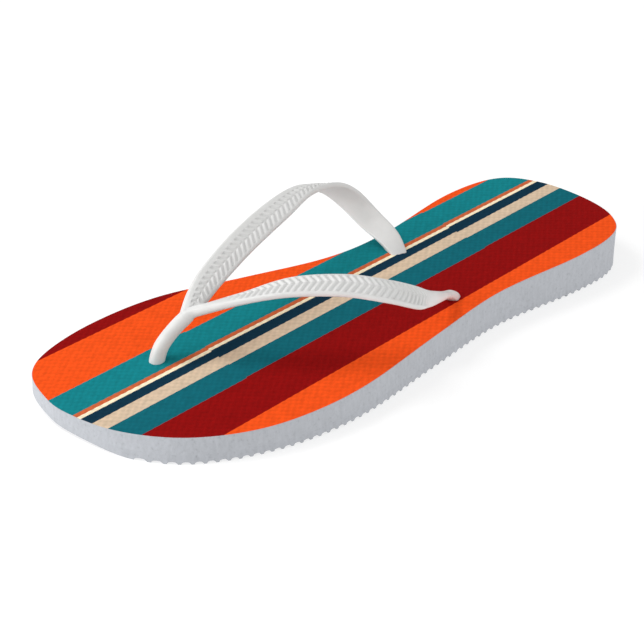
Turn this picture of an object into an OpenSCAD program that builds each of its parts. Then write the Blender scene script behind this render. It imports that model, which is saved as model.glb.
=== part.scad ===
// Left flip flop: a wedge sole in three bonded layers, and a Y-shaped thong strap
// whose toe post and two arms end in plugs that lock into holes through the sole.
// Millimetres. X runs from toe to heel, Y from the outer to the inner side of the foot,
// Z is up. The origin is on the floor under the middle of the sole.

/* [Sole] */
// Length of the sole from toe to heel
sole_l = 256; // [230:1:290]
// Thickness of the whole sole at the toe
toe_t = 9.4; // [8:0.1:12]
// Thickness of the whole sole at the heel
heel_t = 18.9; // [15:0.1:24]
// Thickness of the printed top layer
footbed_t = 2.5; // [1.5:0.5:3]
// Thickness of the ribbed bottom layer
outsole_t = 3.5; // [3:0.5:4]

/* [Tread] */
// Distance from one tread rib to the next
rib_pitch = 3.8; // [3:0.1:6]
// Flat width of a rib where it meets the floor
rib_land = 1.3; // [1:0.1:1.6]
// Depth of the grooves between the ribs
groove_depth = 1; // [0.5:0.1:1.5]
// Length of the smooth bevel under the toe
toe_bevel_l = 10; // [6:1:16]
// Height of the toe bevel at its front
toe_bevel_h = 1.4; // [0.5:0.1:3]

/* [Strap] */
// Diameter of the toe post
post_d = 5.6; // [5:0.1:7]
// Thickness of the strap where the arms meet
strap_t_front = 4; // [3.2:0.1:5]
// Thickness of the strap in the middle of each arm
strap_t_mid = 2.5; // [2:0.1:3.5]
// Thickness of the strap where each arm ends in its plug
strap_t_end = 4.8; // [4:0.1:5.6]

/* [Plugs] */
// Diameter of each plug's neck, which passes through the sole
neck_d = 6; // [5:0.1:7]
// Diameter of the holes that the necks pass through
neck_hole_d = 6.2; // [5.2:0.1:7.3]
// Diameter of the locking disc under each neck
disc_d = 15; // [12:0.5:18]
// Thickness of a locking disc
disc_t = 2.8; // [2:0.1:3]
// Diameter of the recess that hides a disc
recess_d = 16.4; // [13:0.1:20]
// Depth of that recess
recess_depth = 4; // [3.5:0.1:5]

/* [Hidden] */
$fn = 64;

scale_l = sole_l / 256;
half_l = sole_l / 2;
slope = (heel_t - toe_t) / sole_l;
cut_w = 140;
rib_flank = 0.8;
disc_z = recess_depth - disc_t - 0.2;
head_inset = 1.2;
post_flare = 0.1;

// Holes through the sole: by the big toe, and at the two sides of the instep.
toe_hole = [-83.4, 12.6] * scale_l;
inner_hole = [35.6, 15] * scale_l;
outer_hole = [31.2, -27.2] * scale_l;

// Sole outline, counter-clockwise from the toe tip: outer side, heel, arch, ball of the foot.
outline_knots = [
    [-127.8, 20], [-126.8, 6], [-119, -14.5], [-104, -33], [-84, -45.5], [-62, -51.2],
    [-34, -51.4], [6, -44], [46, -37.5], [90, -38.8], [113, -35.5], [124.5, -23], [127.8, -5],
    [123.5, 18], [111, 33], [84, 36], [42, 28.5], [12, 29], [-24, 39.5], [-58, 50],
    [-88, 51], [-112, 45.5], [-124, 36]
] * scale_l;

// Front and back edges of the outer arm, from the yoke over the instep to its plug.
outer_front = [[-70, 7, 28], [-58, -7, 35], [-44.5, -20, 39], [-29.5, -33, 39.5],
    [-16, -42.5, 36], [-3.5, -44.5, 29.5], [5, -40.5, 25], [14.5, -36, 21.5],
    [23.5, -32, 18], [29.4, -27.2, 15.6]];
outer_back = [[-66.5, 9.5, 27.5], [-53, -1, 33.8], [-38.5, -12, 40.5], [-23, -25, 42.3],
    [-10.5, -34.5, 39.8], [-1, -37.5, 35.5], [6.5, -38, 31], [16, -35, 25.5],
    [25, -31.5, 21], [32.8, -27.4, 15.6]];

// Front and back edges of the inner arm.
inner_front = [[-73.5, 11.5, 26], [-66, 16.5, 31.5], [-56.5, 21, 36], [-38, 27.5, 41.5],
    [-14.5, 35.7, 44.2], [5, 41.8, 42.8], [19.5, 44.3, 36], [28, 41, 27.5],
    [31.5, 31, 19.7], [32.2, 16.8, 15.6]];
inner_back = [[-68.5, 8.5, 25.5], [-61, 10, 28.5], [-52.5, 12.5, 32], [-33, 18.5, 37.5],
    [-10, 26, 41.3], [8, 33, 43.2], [23.2, 36, 40.8], [32, 34.8, 36],
    [37.7, 28.3, 27.8], [39.1, 13.6, 15.6]];

// Centre line of the toe post, from the footbed up to the yoke.
post_route = [[-83.4, 12.6, 10.7], [-81.8, 12.3, 14.9], [-79.3, 11.8, 18.4], [-76.2, 11.2, 21.5],
    [-73.5, 10.5, 24], [-70, 9.7, 26.5]];

function top_z(x) = toe_t + slope * (x + half_l);

// Catmull-Rom curve between b and c, at t from 0 to 1.
function blend_at(a, b, c, d, t) =
    0.5 * (2 * b + (c - a) * t + (2 * a - 5 * b + 4 * c - d) * t * t
        + (3 * b - a - 3 * c + d) * t * t * t);
function closed_curve(p, steps) = let (n = len(p)) [
    for (i = [0:n - 1], k = [0:steps - 1])
        blend_at(p[(i + n - 1) % n], p[i], p[(i + 1) % n], p[(i + 2) % n], k / steps)
];
function open_curve(p, steps) = let (n = len(p) - 1) concat([
    for (i = [0:n - 1], k = [0:steps - 1])
        blend_at(p[max(i - 1, 0)], p[i], p[i + 1], p[min(i + 2, n)], k / steps)
], [p[n]]);

function unit(v) = v / norm(v);
function along(c, i) = unit(c[min(i + 1, len(c) - 1)] - c[max(i - 1, 0)]);

// Section of an arm: across runs from front to back edge, lift through its thickness.
section = [[-1, -0.3], [-0.78, -1], [0.78, -1], [1, -0.3], [1, 0.3], [0.78, 1], [-0.78, 1], [-1, 0.3]];
function ease(t) = let (c = min(max(t, 0), 1)) c * c * (3 - 2 * c);
function arm_thickness(s) = strap_t_front + (strap_t_mid - strap_t_front) * ease(s / 0.22)
    + (strap_t_end - strap_t_mid) * ease((s - 0.84) / 0.14);
function arm_ring(front, back, i, n) = let (
    mid = (front[i] + back[i]) / 2,
    half = (back[i] - front[i]) / 2,
    run = unit(along(front, i) + along(back, i)),
    lift = unit(cross(half, run)) * arm_thickness(i / n) / 2
) [for (q = section) mid + half * q[0] + lift * q[1]];

// Closed tube through a list of rings that all have the same number of points.
module skin(rings) {
    n = len(rings) - 1;
    m = len(rings[0]);
    points = [for (r = rings) for (q = r) q];
    sides = [for (i = [0:n - 1], k = [0:m - 1]) let (a = i * m + k, b = i * m + (k + 1) % m)
        each [[a, b, b + m], [a, b + m, a + m]]];
    first = [[for (k = [m - 1:-1:0]) k]];
    last = [[for (k = [0:m - 1]) n * m + k]];
    polyhedron(points, concat(sides, first, last));
}

module arm(front_knots, back_knots) {
    front = open_curve(front_knots * scale_l, 5);
    back = open_curve(back_knots * scale_l, 5);
    n = len(front) - 1;
    skin([for (i = [0:n]) arm_ring(front, back, i, n)]);
}

module side_cut(profile) {
    rotate([90, 0, 0]) linear_extrude(height = cut_w, center = true) polygon(profile);
}

// Slice of the sole: the outline above and below the given side profile.
module sole_layer(profile) {
    intersection() {
        linear_extrude(height = heel_t + 2) polygon(closed_curve(outline_knots, 5));
        side_cut(profile);
    }
}

module at_holes() {
    for (p = [toe_hole, inner_hole, outer_hole]) translate([p[0], p[1], 0]) children();
}

module neck_holes() {
    at_holes() translate([0, 0, -1]) cylinder(d = neck_hole_d, h = heel_t + 4);
}

module disc_recesses() {
    at_holes() translate([0, 0, -1]) cylinder(d = recess_d, h = recess_depth + 1);
}

module footbed() {
    e = half_l + 5;
    color([0.05, 0.5, 0.52]) difference() {
        sole_layer([[-e, top_z(-e) - footbed_t], [e, top_z(e) - footbed_t], [e, top_z(e)], [-e, top_z(-e)]]);
        neck_holes();
    }
}

module midsole() {
    e = half_l + 5;
    color([0.86, 0.87, 0.9]) difference() {
        sole_layer([[-e, outsole_t], [e, outsole_t], [e, top_z(e) - footbed_t], [-e, top_z(-e) - footbed_t]]);
        neck_holes();
        disc_recesses();
    }
}

module outsole() {
    e = half_l + 5;
    first_rib = -half_l + toe_bevel_l;
    ribs = floor((sole_l - toe_bevel_l - 2 * rib_pitch) / rib_pitch);
    tread = [for (k = [0:ribs - 1]) let (x = first_rib + k * rib_pitch) each [
        [x, 0], [x + rib_land, 0],
        [x + rib_land + rib_flank, groove_depth], [x + rib_pitch - rib_flank, groove_depth]
    ]];
    last_x = first_rib + ribs * rib_pitch;
    color([0.78, 0.8, 0.83]) difference() {
        sole_layer(concat([[-e, toe_bevel_h * 1.5], [-half_l, toe_bevel_h]], tread,
            [[last_x, 0], [e, 0], [e, outsole_t], [-e, outsole_t]]));
        disc_recesses();
    }
}

module toe_post() {
    route = open_curve(post_route * scale_l, 4);
    n = len(route) - 1;
    color([0.96, 0.96, 0.95]) skin([for (i = [0:n]) let (
        run = i == 0 ? [0, 0, 1] : along(route, i),
        side = unit(cross(run, [1, 0, 0])),
        fore = cross(side, run),
        r = post_d / 2 * (1 + post_flare * pow(1 - i / n, 2))
    ) [for (k = [0:11]) route[i] + r * (side * cos(30 * k) + fore * sin(30 * k))]]);
}

module strap_yoke() {
    color([0.96, 0.96, 0.95]) hull() {
        translate(post_route[4] * scale_l) sphere(d = post_d, $fn = 24);
        translate(post_route[5] * scale_l) sphere(d = post_d * 0.9, $fn = 24);
        translate((outer_front[0] + outer_back[0]) / 2 * scale_l) sphere(d = strap_t_front, $fn = 24);
        translate((inner_front[0] + inner_back[0]) / 2 * scale_l) sphere(d = strap_t_front, $fn = 24);
    }
}

module inner_arm() {
    color([0.97, 0.97, 0.96]) arm(inner_front, inner_back);
}

module outer_arm() {
    color([0.97, 0.97, 0.96]) arm(outer_front, outer_back);
}

// Round neck from the strap's end down through the sole, with a locking disc below.
module plug(hole, head_z) {
    translate([hole[0], hole[1], 0]) rotate_extrude() polygon([
        [0, disc_z], [disc_d / 2 - 0.6, disc_z], [disc_d / 2, disc_z + 0.8],
        [disc_d / 2, disc_z + disc_t - 0.8], [disc_d / 2 - 0.8, disc_z + disc_t],
        [neck_d / 2, disc_z + disc_t], [neck_d / 2, head_z - 1], [neck_d / 2 - 1, head_z], [0, head_z]
    ]);
}

module toe_plug() {
    color([0.93, 0.93, 0.92]) plug(toe_hole, top_z(toe_hole[0]));
}

module inner_plug() {
    color([0.93, 0.93, 0.92]) plug(inner_hole, top_z(inner_hole[0]) + head_inset);
}

module outer_plug() {
    color([0.93, 0.93, 0.92]) plug(outer_hole, top_z(outer_hole[0]) + head_inset);
}

footbed();
midsole();
outsole();
toe_post();
strap_yoke();
inner_arm();
outer_arm();
toe_plug();
inner_plug();
outer_plug();
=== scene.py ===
"""Left flip flop with a striped print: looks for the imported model, in metres in the model's own frame."""

import math

import bpy
import numpy as np
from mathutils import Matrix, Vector


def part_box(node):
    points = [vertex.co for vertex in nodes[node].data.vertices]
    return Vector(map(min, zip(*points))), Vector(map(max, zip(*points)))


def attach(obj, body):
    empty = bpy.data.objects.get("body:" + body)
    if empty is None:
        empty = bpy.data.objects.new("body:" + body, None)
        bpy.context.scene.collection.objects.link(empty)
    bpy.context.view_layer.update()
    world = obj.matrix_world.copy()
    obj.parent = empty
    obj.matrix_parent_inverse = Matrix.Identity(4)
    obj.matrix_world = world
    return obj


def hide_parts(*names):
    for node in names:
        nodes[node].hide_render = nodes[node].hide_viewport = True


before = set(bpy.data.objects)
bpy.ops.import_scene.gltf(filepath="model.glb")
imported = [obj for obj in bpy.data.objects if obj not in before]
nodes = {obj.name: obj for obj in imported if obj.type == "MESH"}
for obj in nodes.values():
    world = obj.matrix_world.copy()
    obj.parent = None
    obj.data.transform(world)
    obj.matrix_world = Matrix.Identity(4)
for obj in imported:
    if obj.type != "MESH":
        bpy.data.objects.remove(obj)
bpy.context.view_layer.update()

MM = 0.001

# Print on the footbed, from the outer to the inner edge: colour, where it stops at the start
# of each repeat of the print, and how far that edge drifts over the repeat, in mm.
STRIPES = [
    ((0.850, 0.083, 0.010), -42.35, 0.0),
    ((0.255, 0.0035, 0.0035), -21.2, -0.5),
    ((0.0055, 0.125, 0.160), -10.28, 0.4),
    ((0.640, 0.490, 0.350), -4.04, 0.78),
    ((0.0050, 0.031, 0.058), 1.8, -0.63),
    ((0.930, 0.800, 0.560), 3.45, -0.45),
    ((0.560, 0.120, 0.042), 5.57, -0.45),
    ((0.0065, 0.205, 0.232), 18.85, 0.5),
    ((0.850, 0.083, 0.010), 43.15, 0.0),
    ((0.255, 0.0035, 0.0035), None, None),
]

# Over STRIPE_RUN from STRIPE_START on, the stripes drift sideways and narrow. The print's pattern
# starts again every REPEAT_LENGTH, which leaves a small jog in each stripe. Edges are ragged by up
# to half of STRIPE_RAGGED. All in mm, but for the narrowing, which is a part of the width.
STRIPE_DRIFT = 15.1
STRIPE_NARROWING = 0.04
STRIPE_START = -100
STRIPE_RUN = 200
REPEAT_START = -64.5
REPEAT_LENGTH = 130.6
STRIPE_RAGGED = 0.03

# Raised grain of the footbed: its pitch each way, and how much darker its dimples are painted, which is
# painted shade; its raised parts are painted lighter by the same amount.
GRAIN_X = 3.2 * MM
GRAIN_Y = 3.0 * MM
DIMPLE_PAINTED_SHADE = 0.07

# Front and back edges of each arm of the strap, from the fork over the instep into the sole, in mm.
ARM_EDGES = {
    "outer_arm": (
        [[-73.2, 10.4, 26.3], [-70, 7, 28], [-58, -7, 35], [-44.5, -20, 39], [-29.5, -33, 39.5],
         [-16, -42.5, 36], [-3.5, -44.5, 29.5], [5, -40.5, 25], [14.5, -36, 21.5],
         [22.8, -31, 18.5], [27.5, -25.2, 15.2], [29.5, -22.5, 11]],
        [[-70.3, 12.3, 26.5], [-66.5, 9.5, 27.5], [-53, -1, 33.8], [-38.5, -12, 40.5],
         [-23, -25, 42.3], [-10.5, -34.5, 39.8], [-1, -37.5, 35.5], [6.5, -38, 31], [16, -35, 25.5],
         [24.5, -31.3, 20.2], [30.3, -30.6, 15.6], [33, -29.3, 11]],
    ),
    "inner_arm": (
        [[-75.7, 10, 24.4], [-73.5, 11.5, 26], [-66, 16.5, 31.5], [-56.5, 21, 36],
         [-38, 27.5, 41.5], [-14.5, 35.7, 44.2], [5, 41.8, 42.8], [19.5, 44.3, 36], [28, 41, 27.5],
         [31.5, 31, 20.2], [32.6, 19, 16.6], [33.5, 12.3, 12.3]],
        [[-71.2, 8, 24.4], [-68.5, 8.5, 25.5], [-61, 10, 28.5], [-52.5, 12.5, 32],
         [-33, 18.5, 37.5], [-10, 26, 41.3], [8, 33, 43.2], [23.2, 36, 40.8], [32, 34.8, 36],
         [37.7, 28.3, 27.8], [40.4, 17.6, 20.2], [39.5, 10.3, 12.3]],
    ),
}

# Sign that makes each arm's outward direction point away from the foot.
OUTWARD = {"outer_arm": -1, "inner_arm": 1}

# Centre line of the toe post, from inside the footbed up to the fork, in mm.
POST_ROUTE = [[-83.4, 12.6, 7.5], [-83.4, 12.6, 10.2], [-81.8, 12.3, 14.9], [-79.3, 11.8, 18.4],
              [-76.2, 11.2, 21.5], [-73.5, 10.5, 24], [-70, 9.7, 26.5]]


def curve(points, closed=False, steps=24):
    """Catmull-Rom curve through the points, with steps samples for each span."""
    p = np.asarray(points, float)
    n = len(p)
    spans = n if closed else n - 1
    t = np.arange(steps) / steps
    rows = []
    for i in range(spans):
        ids = [(i - 1) % n, i, (i + 1) % n, (i + 2) % n] if closed else [
            max(i - 1, 0), i, i + 1, min(i + 2, n - 1)]
        a, b, c, d = (p[k][None, :] for k in ids)
        u = t[:, None]
        rows.append(0.5 * (2 * b + (c - a) * u + (2 * a - 5 * b + 4 * c - d) * u ** 2
                           + (3 * b - a - 3 * c + d) * u ** 3))
    out = np.vstack(rows)
    return out if closed else np.vstack([out, p[-1:]])


def by_length(points, count, closed=False):
    """The same curve with count evenly spaced points."""
    p = np.vstack([points, points[:1]]) if closed else points
    d = np.concatenate([[0], np.cumsum(np.linalg.norm(np.diff(p, axis=0), axis=1))])
    s = np.linspace(0, d[-1], count, endpoint=not closed)
    return np.stack([np.interp(s, d, p[:, k]) for k in range(p.shape[1])], axis=1)


def unit(v):
    """Vectors scaled to length 1."""
    return v / np.linalg.norm(v, axis=-1, keepdims=True)


def add_mesh(name, verts, faces, materials):
    """A mesh object from points in metres, with one or more materials."""
    mesh = bpy.data.meshes.new(name)
    mesh.from_pydata([tuple(v) for v in verts], [], [tuple(f) for f in faces])
    mesh.validate()
    obj = bpy.data.objects.new(name, mesh)
    bpy.context.scene.collection.objects.link(obj)
    for m in materials:
        mesh.materials.append(m)
    return obj


def shade(obj, angle):
    """Smooth shading with sharp edges above the angle, in degrees."""
    obj.data.polygons.foreach_set("use_smooth", [True] * len(obj.data.polygons))
    obj.data.set_sharp_from_angle(angle=math.radians(angle))
    obj.data.update()


def tube_faces(rings, around):
    """Faces of a closed tube of rings with the same number of points around."""
    faces = []
    for i in range(rings - 1):
        for k in range(around):
            a = i * around + k
            b = i * around + (k + 1) % around
            faces.append((a, b, b + around, a + around))
    faces.append(tuple(range(around - 1, -1, -1)))
    faces.append(tuple(range((rings - 1) * around, rings * around)))
    return faces


def apply_modifiers(obj):
    """Bakes the object's modifiers into its mesh."""
    graph = bpy.context.evaluated_depsgraph_get()
    mesh = bpy.data.meshes.new_from_object(obj.evaluated_get(graph))
    old = obj.data
    obj.modifiers.clear()
    obj.data = mesh
    bpy.data.meshes.remove(old)


def cut(obj, cutter, operation="DIFFERENCE"):
    """Boolean with a helper object, which is then removed."""
    mod = obj.modifiers.new("cut", "BOOLEAN")
    mod.operation = operation
    mod.solver = "EXACT"
    mod.object = cutter
    apply_modifiers(obj)
    bpy.data.objects.remove(cutter)


# ---------------------------------------------------------------- frame facts

def plane_fit(name, top):
    """Slope and height at x = 0 of a layer's top or bottom plane."""
    co = np.array([v.co for v in nodes[name].data.vertices])
    keys = {}
    for x, y, z in co:
        keys.setdefault((round(x, 5), round(y, 5)), []).append(z)
    x = [k[0] for k in keys]
    z = [max(v) if top else min(v) for v in keys.values()]
    return np.polyfit(x, z, 1)


TOP = plane_fit("footbed", True)
UNDER_PRINT = plane_fit("footbed", False)
OUTSOLE_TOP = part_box("outsole")[1].z

# Middle of the hole that each plug's neck passes through.
HOLES = {}
for hole in ("toe_plug", "inner_plug", "outer_plug"):
    low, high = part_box(hole)
    HOLES[hole] = np.array([(low.x + high.x) / 2, (low.y + high.y) / 2])


def top_z(x):
    """Height of the footbed's top plane."""
    return TOP[0] * x + TOP[1]


# Points of the CAD mesh this near to a hole's middle belong to the hole and not to the outline.
HOLE_CLEARANCE = 5 * MM
OUTLINE_POINTS = 720


def sole_outline(count):
    """Outline of the footbed from its CAD mesh, counter-clockwise, evenly spaced."""
    co = np.array([v.co for v in nodes["footbed"].data.vertices])[:, :2]
    co = np.unique(np.round(co, 6), axis=0)
    for centre in HOLES.values():
        co = co[np.linalg.norm(co - centre, axis=1) > HOLE_CLEARANCE]
    co = co[np.argsort(np.arctan2(co[:, 1], co[:, 0]))]
    return by_length(curve(co, closed=True, steps=12), count, closed=True)


OUTLINE = sole_outline(OUTLINE_POINTS)
TANGENT = unit(np.roll(OUTLINE, -1, axis=0) - np.roll(OUTLINE, 1, axis=0))
NORMAL = np.stack([TANGENT[:, 1], -TANGENT[:, 0]], axis=1)


def facing(angle, spread):
    """1 where the outline faces the angle, and 0 where it is turned from it by spread or more, in degrees."""
    turn = (np.degrees(np.arctan2(NORMAL[:, 1], NORMAL[:, 0])) - angle + 180) % 360 - 180
    return np.cos(np.pi / 2 * np.clip(np.abs(turn) / spread, 0, 1)) ** 2


# The cut wall leans out towards the floor, most of all on the outer side of the toe, and a little
# less at the toe tip. The heel's outer corner bulges, and HEEL_LEAN of the bulge is gone at the floor.
FLARE = 1.0 * MM
TOE_KICK = 2.3 * MM * facing(-136, 32)
TOE_TUCK = 0.9 * MM * facing(165, 45)
HEEL_BULGE = 1.3 * MM * facing(-37, 45)
HEEL_LEAN = 0.7

# How far down the wall the printed layer and the midsole end, as a part of the wall's height.
PRINT_END = 0.14
MIDSOLE_END = 0.75


def outline_ring(offset, height):
    """Ring round the sole: the outline moved out by offset, at height(x)."""
    xy = OUTLINE + NORMAL * np.reshape(offset + HEEL_BULGE, (-1, 1))
    z = height(xy[:, 0]) if callable(height) else np.full(len(xy), height)
    return np.column_stack([xy, z])


def wall_offset(part):
    """How far the wall stands out at this part of its height, from 0 at the top to 1 at the floor."""
    return FLARE * part ** 1.5 + (TOE_KICK - TOE_TUCK - HEEL_LEAN * HEEL_BULGE) * part


# ---------------------------------------------------------------- materials

class Nodes:
    """Short way to build a material's node tree."""

    def __init__(self, name):
        self.material = bpy.data.materials.new(name)
        self.material.use_nodes = True
        self.tree = self.material.node_tree
        self.shader = self.tree.nodes["Principled BSDF"]

    def link(self, a, b):
        self.tree.links.new(a, b)

    def math(self, operation, a, b=None, c=None):
        node = self.tree.nodes.new("ShaderNodeMath")
        node.operation = operation
        for i, value in enumerate((a, b, c)):
            if value is None:
                continue
            if isinstance(value, (int, float)):
                node.inputs[i].default_value = value
            else:
                self.link(value, node.inputs[i])
        return node.outputs[0]

    def place(self, scale):
        """Object coordinates in units of the given size on each axis, in metres."""
        coord = self.tree.nodes.new("ShaderNodeTexCoord")
        mapping = self.tree.nodes.new("ShaderNodeMapping")
        mapping.inputs["Scale"].default_value = tuple(1 / s for s in scale)
        self.link(coord.outputs["Object"], mapping.inputs["Vector"])
        return mapping.outputs["Vector"]

    def noise(self, size, detail=3.0, roughness=0.55):
        """Noise whose features are about size metres across on each axis."""
        node = self.tree.nodes.new("ShaderNodeTexNoise")
        node.inputs["Scale"].default_value = 1.0
        node.inputs["Detail"].default_value = detail
        node.inputs["Roughness"].default_value = roughness
        scale = size if isinstance(size, tuple) else (size,) * 3
        self.link(self.place(scale), node.inputs["Vector"])
        return node.outputs["Fac"]

    def ramp(self, value, stops, mode="LINEAR"):
        node = self.tree.nodes.new("ShaderNodeValToRGB")
        ramp = node.color_ramp
        ramp.interpolation = mode
        while len(ramp.elements) < len(stops):
            ramp.elements.new(0.5)
        for element, (where, colour) in zip(ramp.elements, stops):
            element.position = where
            element.color = (*colour, 1) if len(colour) == 3 else colour
        self.link(value, node.inputs["Fac"])
        return node.outputs["Color"]

    def flat(self, colour):
        node = self.tree.nodes.new("ShaderNodeRGB")
        node.outputs[0].default_value = (*colour, 1)
        return node.outputs[0]

    def mix(self, factor, a, b, mode="MIX"):
        """Colours a and b mixed by a value or a plain number."""
        node = self.tree.nodes.new("ShaderNodeMix")
        node.data_type = "RGBA"
        node.blend_type = mode
        if isinstance(factor, (int, float)):
            node.inputs["Factor"].default_value = factor
        else:
            self.link(factor, node.inputs["Factor"])
        colour_in = [i for i in node.inputs if i.type == "RGBA"]
        self.link(a, colour_in[0])
        self.link(b, colour_in[1])
        return [o for o in node.outputs if o.type == "RGBA"][0]

    def spread(self, value, low, high):
        """A 0 to 1 value stretched to run from low to high."""
        node = self.tree.nodes.new("ShaderNodeMapRange")
        node.inputs["To Min"].default_value = low
        node.inputs["To Max"].default_value = high
        self.link(value, node.inputs["Value"])
        return node.outputs["Result"]

    def tint(self, colour, factor):
        """Colour times a grey factor."""
        node = self.tree.nodes.new("ShaderNodeVectorMath")
        node.operation = "SCALE"
        self.link(colour, node.inputs[0])
        self.link(factor, node.inputs["Scale"])
        return node.outputs["Vector"]

    def bump(self, height, distance, strength=1.0, below=None):
        node = self.tree.nodes.new("ShaderNodeBump")
        node.inputs["Distance"].default_value = distance
        node.inputs["Strength"].default_value = strength
        self.link(height, node.inputs["Height"])
        if below is not None:
            self.link(below, node.inputs["Normal"])
        return node.outputs["Normal"]

    def finish(self, colour, roughness, normal=None, **values):
        self.link(colour, self.shader.inputs["Base Color"])
        self.link(roughness, self.shader.inputs["Roughness"])
        if normal is not None:
            self.link(normal, self.shader.inputs["Normal"])
        for key, value in values.items():
            self.shader.inputs[key.replace("_", " ")].default_value = value
        return self.material


def print_material():
    """Striped ink on the textured footbed."""
    n = Nodes("printed_footbed")
    coord = n.tree.nodes.new("ShaderNodeTexCoord")
    split = n.tree.nodes.new("ShaderNodeSeparateXYZ")
    n.link(coord.outputs["Object"], split.inputs["Vector"])
    x = n.math("MULTIPLY", split.outputs["X"], 1 / MM)
    y = n.math("MULTIPLY", split.outputs["Y"], 1 / MM)
    t = n.math("DIVIDE", n.math("SUBTRACT", x, STRIPE_START), STRIPE_RUN)
    shift = n.math("SUBTRACT", y, n.math("MULTIPLY", t, STRIPE_DRIFT))
    width = n.math("SUBTRACT", 1.0, n.math("MULTIPLY", t, STRIPE_NARROWING))
    place = n.math("DIVIDE", shift, width)
    ragged = n.math("MULTIPLY", n.math("SUBTRACT", n.noise(0.0006, detail=2), 0.5), STRIPE_RAGGED)
    place = n.math("ADD", place, ragged)
    repeat = n.math("FRACT", n.math("DIVIDE", n.math("SUBTRACT", x, REPEAT_START), REPEAT_LENGTH))
    ink = None
    for (colour, _, _), last in zip(STRIPES, [None] + STRIPES[:-1]):
        if last is None:
            ink = n.flat(colour)
            continue
        edge = n.math("ADD", n.math("MULTIPLY", repeat, last[2]), last[1])
        ink = n.mix(n.math("GREATER_THAN", place, edge), ink, n.flat(colour))
    mottle_and_dimple_shade = n.spread(n.noise((0.0030, 0.0020, 0.003), detail=1, roughness=0.5), low=0.84, high=1.16)
    # Painted shade and light on the grain: the ink is painted darker in its dimples and lighter on its raised
    # parts, following the relief.
    dimple_x = n.math("COSINE", n.math("MULTIPLY", x, 2 * math.pi * MM / GRAIN_X))
    dimple_y = n.math("COSINE", n.math("MULTIPLY", y, 2 * math.pi * MM / GRAIN_Y))
    dimples = n.math("MULTIPLY", dimple_x, dimple_y)
    mottle_and_dimple_shade = n.math("MULTIPLY", mottle_and_dimple_shade, n.math("MULTIPLY_ADD", dimples, DIMPLE_PAINTED_SHADE, 1.0))
    fine = n.spread(n.noise(0.0008, detail=2, roughness=0.6), low=0.90, high=1.10)
    colour = n.tint(ink, n.math("MULTIPLY", mottle_and_dimple_shade, fine))
    roughness = n.spread(n.noise(0.002), low=0.68, high=0.85)
    grain = n.bump(n.noise((0.0012, 0.0008, 0.001), roughness=0.6), distance=0.00012, strength=0.8)
    normal = n.bump(n.noise(0.0003, detail=2), distance=0.00004, strength=0.6, below=grain)
    return n.finish(colour, roughness, normal, Specular_IOR_Level=0.03)


# Tones of the foam's pinholes and of its faint upright streaks, at places along their noise.
SPECK_TONES = ((0.0, 0.30), (0.33, 0.86), (0.42, 0.98), (1.0, 1.10))
STREAK_TONES = ((0.3, 0.94), (0.7, 1.04))
STREAK_WIDTH = 0.0013


def foam_material(name, tone, speck_size, streak_length):
    """Closed-cell rubber foam: pale, mottled, with pinhole specks on its cut edge."""
    n = Nodes(name)
    cells = n.noise(speck_size, detail=4, roughness=0.65)
    specks = n.ramp(cells, [(place, (grey,) * 3) for place, grey in SPECK_TONES])
    streaks = n.noise((STREAK_WIDTH, STREAK_WIDTH, streak_length), detail=2)
    base = n.ramp(streaks, [(place, tuple(c * grey for c in tone)) for place, grey in STREAK_TONES])
    colour = n.mix(1.0, base, specks, "MULTIPLY")
    roughness = n.spread(n.noise(0.002), low=0.62, high=0.85)
    height = n.math("ADD", cells, n.math("MULTIPLY", streaks, 0.8))
    return n.finish(colour, roughness, n.bump(height, distance=0.00018, strength=0.8))


def strap_material():
    """Moulded rubber strap: satin white with a faint cast."""
    n = Nodes("strap_rubber")
    colour = n.ramp(n.noise(0.006), [(0.3, (0.625, 0.625, 0.615)), (0.7, (0.665, 0.665, 0.655))])
    roughness = n.spread(n.noise(0.0015), low=0.36, high=0.5)
    normal = n.bump(n.noise(0.0004), distance=0.00003, strength=0.5)
    return n.finish(colour, roughness, normal, Subsurface_Weight=0.08,
                    Subsurface_Radius=(0.002, 0.002, 0.002), Subsurface_Scale=1.0)


def floor_material():
    """Pale floor that gives off some light, so that it stays white around the soft shadow."""
    n = Nodes("studio_floor")
    colour = n.ramp(n.noise(0.4, detail=2), [(0.3, (0.395, 0.395, 0.395)), (0.7, (0.405, 0.405, 0.405))])
    return n.finish(colour, n.spread(n.noise(0.3, detail=2), low=0.8, high=0.9),
                    Emission_Color=(1.0, 1.0, 1.0, 1.0), Emission_Strength=0.64)


PRINT = print_material()
FOAM = foam_material("sole_foam", (0.41, 0.425, 0.455), speck_size=0.0011, streak_length=0.006)
TREAD = foam_material("tread_foam", (0.40, 0.415, 0.445), speck_size=0.0013, streak_length=0.01)
RUBBER = strap_material()


# ---------------------------------------------------------------- sole

# Height of the raised grain, and the width of the footbed's plain margin. CHAMFER is the footbed's
# cut upper edge. Faces that point up by more than UPWARD are printed, and the others show foam.
GRAIN_HEIGHT = 0.10 * MM
GRAIN_MARGIN = 1.2 * MM
CHAMFER = 0.3 * MM
UPWARD = 0.85
SOLE_SMOOTH = 35

# Each hole takes a plug's neck and ends under a skin of foam, and each recess takes its disc.
HOLE_RADIUS = 3.1 * MM
HOLE_SKIN = 0.8 * MM
RECESS_RADIUS = 8.2 * MM
RECESS_DEPTH = 4 * MM
BELOW_SOLE = -5 * MM
ABOVE_SOLE = 40 * MM


def soft_step(x, low, high):
    """0 up to low, 1 from high on, and a smooth rise between."""
    t = np.clip((x - low) / (high - low), 0, 1)
    return t * t * (3 - 2 * t)


def under_print(x):
    """Height of the printed layer's bottom plane."""
    return UNDER_PRINT[0] * x + UNDER_PRINT[1]


def prism(name, rings, materials):
    """Closed solid from rings round the sole, listed from the top down."""
    return add_mesh(name, np.vstack(rings), tube_faces(len(rings), len(rings[0])), materials)


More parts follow.
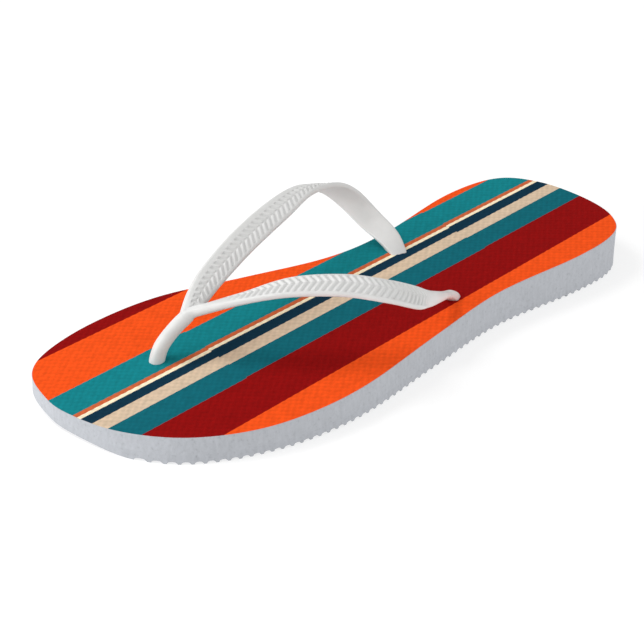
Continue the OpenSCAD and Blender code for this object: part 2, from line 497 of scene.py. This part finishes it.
def cylinder(name, centre, radius, low, high, sides=48):
    """Upright cylinder between two heights, for cutting."""
    a = np.linspace(0, 2 * np.pi, sides, endpoint=False)
    ring = np.column_stack([centre[0] + radius * np.cos(a), centre[1] + radius * np.sin(a)])
    verts = np.vstack([np.column_stack([ring, np.full(sides, low)]),
                       np.column_stack([ring, np.full(sides, high)])])
    return add_mesh(name, verts, tube_faces(2, sides), [])


def embossed_sheet():
    """Block wider than the footbed whose top carries the raised grain, fading out near the outline."""
    low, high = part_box("footbed")
    spare = 3 * MM
    steps_per_pitch = 4
    xs = np.arange(low.x - spare, high.x + spare, GRAIN_X / steps_per_pitch)
    ys = np.arange(low.y - spare, high.y + spare, GRAIN_Y / steps_per_pitch)
    gx, gy = np.meshgrid(xs, ys, indexing="ij")
    quilt = np.cos(2 * np.pi * gx / GRAIN_X) * np.cos(2 * np.pi * gy / GRAIN_Y)
    points = np.column_stack([gx.ravel(), gy.ravel()])
    batches = 60
    nearest = [np.sqrt(((batch[:, None] - OUTLINE[None]) ** 2).sum(axis=2).min(axis=1))
               for batch in np.array_split(points, batches)]
    clear = soft_step(np.concatenate(nearest).reshape(gx.shape), GRAIN_MARGIN, 3 * GRAIN_MARGIN)
    relief = GRAIN_HEIGHT * quilt * clear
    top = np.column_stack([points, (top_z(gx) + relief - GRAIN_HEIGHT).ravel()])
    nx, ny = gx.shape
    quads = []
    for i in range(nx - 1):
        for j in range(ny - 1):
            corner = i * ny + j
            quads.append((corner, corner + ny, corner + ny + 1, corner + 1))
    # A skirt and a flat bottom close the sheet below the layer.
    edge = ([i * ny for i in range(nx)] + [(nx - 1) * ny + j for j in range(1, ny)]
            + [i * ny + ny - 1 for i in range(nx - 2, -1, -1)] + [j for j in range(ny - 2, 0, -1)])
    base = len(top)
    skirt = top[edge].copy()
    skirt[:, 2] = BELOW_SOLE
    count = len(edge)
    for k in range(count):
        after = (k + 1) % count
        quads.append((edge[k], base + k, base + after, edge[after]))
    quads.append(tuple(base + k for k in range(count - 1, -1, -1)))
    return add_mesh("footbed_print", np.vstack([top, skirt]), quads, [PRINT, FOAM])


def make_footbed():
    """Printed top layer: an embossed sheet cut to the outline, with foam on its cut edge."""
    sheet = embossed_sheet()
    shape = prism("outline_cutter", [
        outline_ring(-4 * CHAMFER, lambda x: top_z(x) + 3 * CHAMFER),
        outline_ring(0, lambda x: top_z(x) - CHAMFER),
        outline_ring(wall_offset(PRINT_END), under_print),
    ], [])
    cut(sheet, shape, "INTERSECT")
    for centre in HOLES.values():
        cut(sheet, cylinder("hole_cutter", centre, HOLE_RADIUS, 0, top_z(centre[0]) - HOLE_SKIN))
    for polygon in sheet.data.polygons:
        polygon.material_index = 0 if polygon.normal.z > UPWARD else 1
    shade(sheet, SOLE_SMOOTH)
    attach(sheet, "root")
    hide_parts("footbed")


def make_midsole():
    """Foam wedge between the print and the tread, holed for the plugs."""
    rings = []
    for part in (0.0, 0.33, 0.66, 1.0):
        rings.append(outline_ring(wall_offset(PRINT_END + (MIDSOLE_END - PRINT_END) * part),
                                  lambda x, p=part: under_print(x) * (1 - p) + OUTSOLE_TOP * p))
    wedge = prism("midsole_foam", rings, [FOAM])
    for centre in HOLES.values():
        cut(wedge, cylinder("hole_cutter", centre, HOLE_RADIUS, BELOW_SOLE, ABOVE_SOLE))
        cut(wedge, cylinder("recess_cutter", centre, RECESS_RADIUS, BELOW_SOLE, RECESS_DEPTH))
    shade(wedge, SOLE_SMOOTH)
    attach(wedge, "root")
    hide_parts("midsole")


# Tread: ribs with flat lands and arched grooves between them, and a bevel under the toe. The wall's
# lowest part, from TURN_START on, turns in a little. The comb that cuts the grooves starts just
# below the floor, so that the lands stay whole.
RIB_PITCH = 3.8 * MM
RIB_FIRST = -118 * MM
RIB_LAND = 0.9 * MM
RIB_DEPTH = 1.0 * MM
ARC_STEPS = 8
GROOVE_FULLNESS = 0.8
HEEL_PLAIN = 4 * MM
BEVEL_AT_TOE = 1.4 * MM
BEVEL_OUTER = 3.2 * MM
TURN_START = 0.9
TURN_HEIGHT = 0.4
TURN_IN = 0.1 * MM
COMB_BASE = -0.02 * MM
COMB_SPARE = 5 * MM
COMB_HALF_WIDTH = 80 * MM
TREAD_SMOOTH = 30


def tread_comb():
    """Cutter for the grooves: one arch between each two ribs, and the bevel under the toe."""
    low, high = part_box("outsole")
    count = int((high.x - RIB_FIRST - HEEL_PLAIN) / RIB_PITCH)
    profile = [(low.x - COMB_SPARE, BELOW_SOLE), (low.x - COMB_SPARE, BEVEL_OUTER), (low.x, BEVEL_AT_TOE),
               (RIB_FIRST, COMB_BASE)]
    span = RIB_PITCH - RIB_LAND
    for k in range(count):
        start = RIB_FIRST + k * RIB_PITCH + RIB_LAND
        for angle in (math.pi * j / ARC_STEPS for j in range(ARC_STEPS + 1)):
            profile.append((start + span * (1 - math.cos(angle)) / 2,
                            COMB_BASE + RIB_DEPTH * math.sin(angle) ** GROOVE_FULLNESS))
    profile.append((high.x + COMB_SPARE, COMB_BASE))
    profile.append((high.x + COMB_SPARE, BELOW_SOLE))
    verts = [(x, side * COMB_HALF_WIDTH, z) for side in (-1, 1) for x, z in profile]
    return add_mesh("tread_comb", verts, tube_faces(2, len(profile)), [])


def make_outsole():
    """Ribbed tread layer."""
    rings = [outline_ring(wall_offset(MIDSOLE_END), OUTSOLE_TOP),
             outline_ring(wall_offset(TURN_START), TURN_HEIGHT * OUTSOLE_TOP),
             outline_ring(wall_offset(1.0) - TURN_IN, 0.0)]
    tread = prism("outsole_tread", rings, [TREAD])
    cut(tread, tread_comb())
    for centre in HOLES.values():
        cut(tread, cylinder("recess_cutter", centre, RECESS_RADIUS, BELOW_SOLE, 2 * RECESS_DEPTH))
    shade(tread, TREAD_SMOOTH)
    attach(tread, "root")
    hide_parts("outsole")


# ---------------------------------------------------------------- strap

# Thickness of the arms at three places, the crown of their faces, the radius of their edges, and
# the length over which each arm starts as a dome.
STRAP_THICK = {"fork": 4.0 * MM, "middle": 2.5 * MM, "end": 3.6 * MM}
CROWN = 0.3 * MM
EDGE_ROUND = 1.0 * MM
END_ROUND = 1.8 * MM

# Length of one step along an arm, and points of its section on its outer face, each edge and inner face.
ARM_STEP = 0.3 * MM
ACROSS_POINTS = 44
EDGE_POINTS = 7
UNDER_POINTS = 12

# Largest angle, in degrees, that is still shaded smooth on the strap and on its round parts.
STRAP_SMOOTH = 60
ROUND_SMOOTH = 50

# Depth of the ribbed field between the rails, and height and sharpness of the chevron ribs in it.
FIELD_DEPTH = 0.65 * MM
CHEVRON_HEIGHT = 0.72 * MM
RIB_SHARPNESS = 0.7

# Width of the smooth rail along the front and back edge of each arm, and how deep its ribs are cut.
RAILS = {"outer_arm": (1.2 * MM, 1.1 * MM), "inner_arm": (2.9 * MM, 1.2 * MM)}
RELIEF = {"outer_arm": 0.8, "inner_arm": 0.88}

# Rib spacing at places along each arm, and where the ribs fade in and out, in mm. The ribs meet on a
# line off the arm's middle, and slant towards it by a number of ribs across each side.
RIB_SPACING = {
    "outer_arm": ([0, 45, 70, 85, 100, 134], [2.5, 2.65, 2.65, 2.1, 1.7, 1.6]),
    "inner_arm": ([0, 33, 53, 68, 83, 98, 149], [2.8, 2.85, 3.0, 3.15, 3.0, 2.4, 2.3]),
}
RIB_FADE = {"outer_arm": (14, 30, 90, 103), "inner_arm": (6, 9, 119, 129)}
RIB_CENTRE = {"outer_arm": 0.8 * MM, "inner_arm": 0.5 * MM}
RIB_SLANT = {"outer_arm": (0.6, 0.6), "inner_arm": (0.5, 1.0)}


def arm_frame(name, step):
    """Place along, middle, half-width vector and outward direction at even steps along an arm."""
    front, back = (curve(np.array(e) * MM, steps=40) for e in ARM_EDGES[name])
    mid = (front + back) / 2
    d = np.concatenate([[0], np.cumsum(np.linalg.norm(np.diff(mid, axis=0), axis=1))])
    s = np.linspace(0, d[-1], int(d[-1] / step))
    front = np.stack([np.interp(s, d, front[:, k]) for k in range(3)], axis=1)
    back = np.stack([np.interp(s, d, back[:, k]) for k in range(3)], axis=1)
    mid = (front + back) / 2
    half = (back - front) / 2
    out = OUTWARD[name] * unit(np.cross(half, np.gradient(mid, axis=0)))
    return s, mid, half, out


def arm_thickness(part):
    """Thickness along an arm: full at the fork, thin over the foot, full again at the sole."""
    thick = STRAP_THICK["fork"] + (STRAP_THICK["middle"] - STRAP_THICK["fork"]) * soft_step(part, 0, 0.22)
    return thick + (STRAP_THICK["end"] - STRAP_THICK["middle"]) * soft_step(part, 0.84, 0.98)


def round_end(s):
    """Scale of a section near the start of an arm, so that it starts as a dome."""
    t = np.clip(1 - s / END_ROUND, 0, 0.98)
    return np.sqrt(1 - t * t)


def relief_drop(name, across, width, turn, pitch):
    """How far the outer face lies below its smooth crown, at places across an arm."""
    rail = np.where(across < 0, *RAILS[name])
    inside = soft_step(width - rail - np.abs(across), -0.15 * MM, 0.25 * MM)
    from_centre = across - RIB_CENTRE[name]
    slant = np.where(from_centre < 0, *RIB_SLANT[name])
    rib = (0.5 + 0.5 * np.cos(2 * np.pi * (turn + slant * np.abs(from_centre) / pitch))) ** RIB_SHARPNESS
    centre_line = soft_step(np.abs(from_centre), 0.1 * MM, 0.4 * MM)
    return inside * (FIELD_DEPTH - CHEVRON_HEIGHT * rib * (0.5 + 0.5 * centre_line))


def arm_section(width, height, soften, drop):
    """Section of an arm, as places across it and heights: outer face, two rounded edges, inner face."""
    r = min(EDGE_ROUND + (height - EDGE_ROUND) * soften, width * (0.45 + 0.4 * soften), height * 0.95)
    q = np.linspace(-1, 1, ACROSS_POINTS)
    outer = q * (width - r)
    outer_z = height + CROWN * (1 - q ** 2) * min(1, height / EDGE_ROUND) - drop(outer)
    turn = np.linspace(np.pi / 2, -np.pi / 2, EDGE_POINTS + 2)[1:-1]
    edge = (width - r) + r * np.cos(turn)
    edge_z = np.where(np.sin(turn) > 0, 1, -1) * (height - r) + r * np.sin(turn)
    q = np.linspace(1, -1, UNDER_POINTS)
    under_z = -height - CROWN / 3 * (1 - q ** 2)
    return (np.concatenate([outer, edge, q * (width - r), -edge[::-1]]),
            np.concatenate([outer_z, edge_z, under_z, edge_z[::-1]]))


def make_arm(name):
    """One arm: a band with raised rails and chevron ribs on its outer face and a smooth inner face."""
    s, mid, half, out = arm_frame(name, ARM_STEP)
    part = s / s[-1]
    thick = arm_thickness(part) * round_end(s)
    width = np.linalg.norm(half, axis=1) * round_end(s)
    across = unit(half)
    places, spacing = RIB_SPACING[name]
    pitch = np.interp(s / MM, places, spacing) * MM
    turns = np.cumsum(ARM_STEP / pitch)
    start, full, fading, gone = (v * MM for v in RIB_FADE[name])
    fade = RELIEF[name] * soft_step(s, start, full) * (1 - soft_step(s, fading, gone))
    soften = 1 - soft_step(part, 0.06, 0.24)
    rings = []
    for i in range(len(s)):
        places_across, heights = arm_section(
            width[i], thick[i] / 2, soften[i],
            lambda d: fade[i] * relief_drop(name, d, width[i], turns[i], pitch[i]))
        rings.append(mid[i] + places_across[:, None] * across[i] + heights[:, None] * out[i])
    obj = add_mesh(name + "_strap", np.vstack(rings), tube_faces(len(s), len(rings[0])), [RUBBER])
    shade(obj, STRAP_SMOOTH)
    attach(obj, "root")
    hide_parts(name)


# The post's radius, how much wider it is at its base, and the part of its length that is domed.
POST_RADIUS = 2.8 * MM
POST_FLARE = 0.3 * MM
POST_DOME = 0.08


def tube(name, route, radius, materials):
    """Round tube along a route, with a radius for each part of its length."""
    sides, step = 48, 0.4 * MM
    path = curve(route)
    count = max(int(np.linalg.norm(np.diff(path, axis=0), axis=1).sum() / step), 4)
    path = by_length(path, count)
    run = unit(np.gradient(path, axis=0))
    side = unit(np.cross(run, np.array([1.0, 0.2, 0.0])))
    fore = np.cross(side, run)
    angle = np.linspace(0, 2 * np.pi, sides, endpoint=False)[:, None]
    rings = [path[i] + radius(part) * (np.cos(angle) * side[i] + np.sin(angle) * fore[i])
             for i, part in enumerate(np.linspace(0, 1, count))]
    return add_mesh(name, np.vstack(rings), tube_faces(count, sides), materials)


def post_radius(part):
    """Radius along the post: a little wider at its base, domed at its upper end."""
    dome = math.sqrt(1 - min(max((part - 1 + POST_DOME) / POST_DOME, 0), 0.98) ** 2)
    return (POST_RADIUS + POST_FLARE * max(0, 1 - part * 1.6) ** 1.5) * dome


def make_post():
    """Round toe post between the footbed and the fork."""
    obj = tube("toe_post_strap", np.array(POST_ROUTE) * MM, post_radius, [RUBBER])
    shade(obj, ROUND_SMOOTH)
    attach(obj, "root")
    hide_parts("toe_post")


# The fork reaches FORK_REACH along each arm. Its parts start FORK_INSET inside the strap's surface,
# and growing and shrinking them by FORK_SWELL fills the corners between them.
FORK_REACH = 16 * MM
FORK_INSET = 0.06 * MM
FORK_STEP = 0.5 * MM
FORK_SWELL = 1.2 * MM
FORK_VOXEL = 0.3 * MM
FORK_SIDES = 32
SQUARENESS = 0.6


def fork_arm(name):
    """Plain rounded start of an arm, for the fork."""
    s, mid, half, out = arm_frame(name, FORK_STEP)
    scale = round_end(s)
    thick = arm_thickness(s / s[-1]) / 2 * scale - FORK_INSET
    angle = np.linspace(0, 2 * np.pi, FORK_SIDES, endpoint=False)
    across = np.sign(np.cos(angle)) * np.abs(np.cos(angle)) ** SQUARENESS
    up = np.sign(np.sin(angle)) * np.abs(np.sin(angle)) ** SQUARENESS
    narrower = 1 - FORK_INSET / (3 * MM)
    rings = [mid[i] + narrower * scale[i] * across[:, None] * half[i] + thick[i] * up[:, None] * out[i]
             for i in np.nonzero(s < FORK_REACH)[0]]
    return add_mesh("fork_" + name, np.vstack(rings), tube_faces(len(rings), FORK_SIDES), [])


def make_fork():
    """Fillets between the post and the arms: a remeshed union, smoothed so that its corners fill."""
    upper_post = np.array(POST_ROUTE[3:]) * MM
    parts = [tube("fork_post", upper_post, lambda part: POST_RADIUS - FORK_INSET, [])]
    parts += [fork_arm(name) for name in ARM_EDGES]
    verts, faces = [], []
    for piece in parts:
        base = len(verts)
        verts += [tuple(v.co) for v in piece.data.vertices]
        faces += [tuple(base + k for k in f.vertices) for f in piece.data.polygons]
        bpy.data.objects.remove(piece)
    fork = add_mesh("strap_fork", verts, faces, [RUBBER])
    for grow, smooth in ((0, 2), (FORK_SWELL, 4), (-FORK_SWELL, 10)):
        mod = fork.modifiers.new("grow", "DISPLACE")
        mod.strength = grow
        mod.mid_level = 0
        mod = fork.modifiers.new("remesh", "REMESH")
        mod.mode = "VOXEL"
        mod.voxel_size = FORK_VOXEL
        mod = fork.modifiers.new("smooth", "SMOOTH")
        mod.factor = 0.5
        mod.iterations = smooth
    apply_modifiers(fork)
    if not fork.data.materials:
        fork.data.materials.append(RUBBER)
    shade(fork, STRAP_SMOOTH)
    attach(fork, "root")
    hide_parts("strap_yoke")


# Each plug's neck, the gap above it under the skin of foam, and its disc.
NECK_RADIUS = 3.0 * MM
NECK_GAP = 0.05 * MM
DISC_THICK = 2.8 * MM
PLUG_SIDES = 64


def make_plug(node):
    """Turned plug: neck through the sole and a rounded locking disc with a dished face."""
    low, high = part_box(node)
    centre = (low + high) / 2
    disc_r = (high.x - low.x) / 2
    base = low.z
    end = top_z(centre.x) - HOLE_SKIN - NECK_GAP
    profile = [(2.2 * MM, base + 0.5 * MM), (2.6 * MM, base + 0.1 * MM), (3.0 * MM, base),
               (disc_r - 1.0 * MM, base), (disc_r - 0.3 * MM, base + 0.3 * MM),
               (disc_r, base + 1.0 * MM), (disc_r, base + 1.8 * MM), (disc_r - 0.3 * MM, base + 2.5 * MM),
               (disc_r - 1.0 * MM, base + DISC_THICK), (NECK_RADIUS + 0.6 * MM, base + DISC_THICK + 0.1 * MM),
               (NECK_RADIUS, base + DISC_THICK + 0.7 * MM), (NECK_RADIUS, end - 1.2 * MM),
               (NECK_RADIUS - 0.4 * MM, end - 0.4 * MM), (NECK_RADIUS - 1.2 * MM, end)]
    angles = np.linspace(0, 2 * np.pi, PLUG_SIDES, endpoint=False)
    verts = [(centre.x + r * math.cos(t), centre.y + r * math.sin(t), z) for r, z in profile for t in angles]
    obj = add_mesh(node + "_rubber", verts, tube_faces(len(profile), PLUG_SIDES), [RUBBER])
    shade(obj, ROUND_SMOOTH)
    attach(obj, "root")
    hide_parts(node)


# ---------------------------------------------------------------- studio

# Camera place and aim in mm, lens in mm, and half the floor's width in metres.
CAMERA_PLACE = (-342.5, -412.2, 335.5)
CAMERA_AIM = (-7.4, 8.4, -0.5)
CAMERA_LENS = 87.8
FLOOR_HALF = 6


def make_camera():
    """The photo's camera: in front of the toe, on the outer side, looking down at the sole."""
    data = bpy.data.cameras.new("camera")
    data.lens = CAMERA_LENS
    data.sensor_width = 36
    data.clip_start = 0.01
    data.clip_end = 10
    camera = bpy.data.objects.new("camera", data)
    bpy.context.scene.collection.objects.link(camera)
    place, aim = Vector(CAMERA_PLACE) * MM, Vector(CAMERA_AIM) * MM
    camera.location = place
    camera.rotation_euler = (aim - place).to_track_quat("-Z", "Y").to_euler()
    bpy.context.scene.camera = camera


def softbox(name, place, size, power):
    """Square light that faces the object."""
    data = bpy.data.lights.new(name, "AREA")
    data.shape = "SQUARE"
    data.size = size
    data.energy = power
    light = bpy.data.objects.new(name, data)
    bpy.context.scene.collection.objects.link(light)
    light.location = place
    light.rotation_euler = (-Vector(place)).to_track_quat("-Z", "Y").to_euler()


def make_studio():
    """White surroundings, three soft lights and the floor."""
    world = bpy.data.worlds.new("studio")
    bpy.context.scene.world = world
    world.use_nodes = True
    background = world.node_tree.nodes["Background"]
    background.inputs["Color"].default_value = (1.0, 1.0, 1.0, 1)
    background.inputs["Strength"].default_value = 0.58
    softbox("key", (-0.4, 0.65, 1.05), size=0.5, power=6.0)
    softbox("fill", (0.4, -1.3, 0.25), size=1.2, power=8.5)
    softbox("toe_fill", (-1.2, 0.43, 0.25), size=0.8, power=12.0)
    corners = [(x * FLOOR_HALF, y * FLOOR_HALF, 0) for x, y in ((-1, -1), (1, -1), (1, 1), (-1, 1))]
    floor = add_mesh("floor", corners, [(0, 1, 2, 3)], [floor_material()])
    bpy.context.scene.view_settings.view_transform = "Standard"


make_camera()
make_studio()
make_footbed()
make_midsole()
make_outsole()
for arm in ARM_EDGES:
    make_arm(arm)
make_post()
make_fork()
for plug in HOLES:
    make_plug(plug)
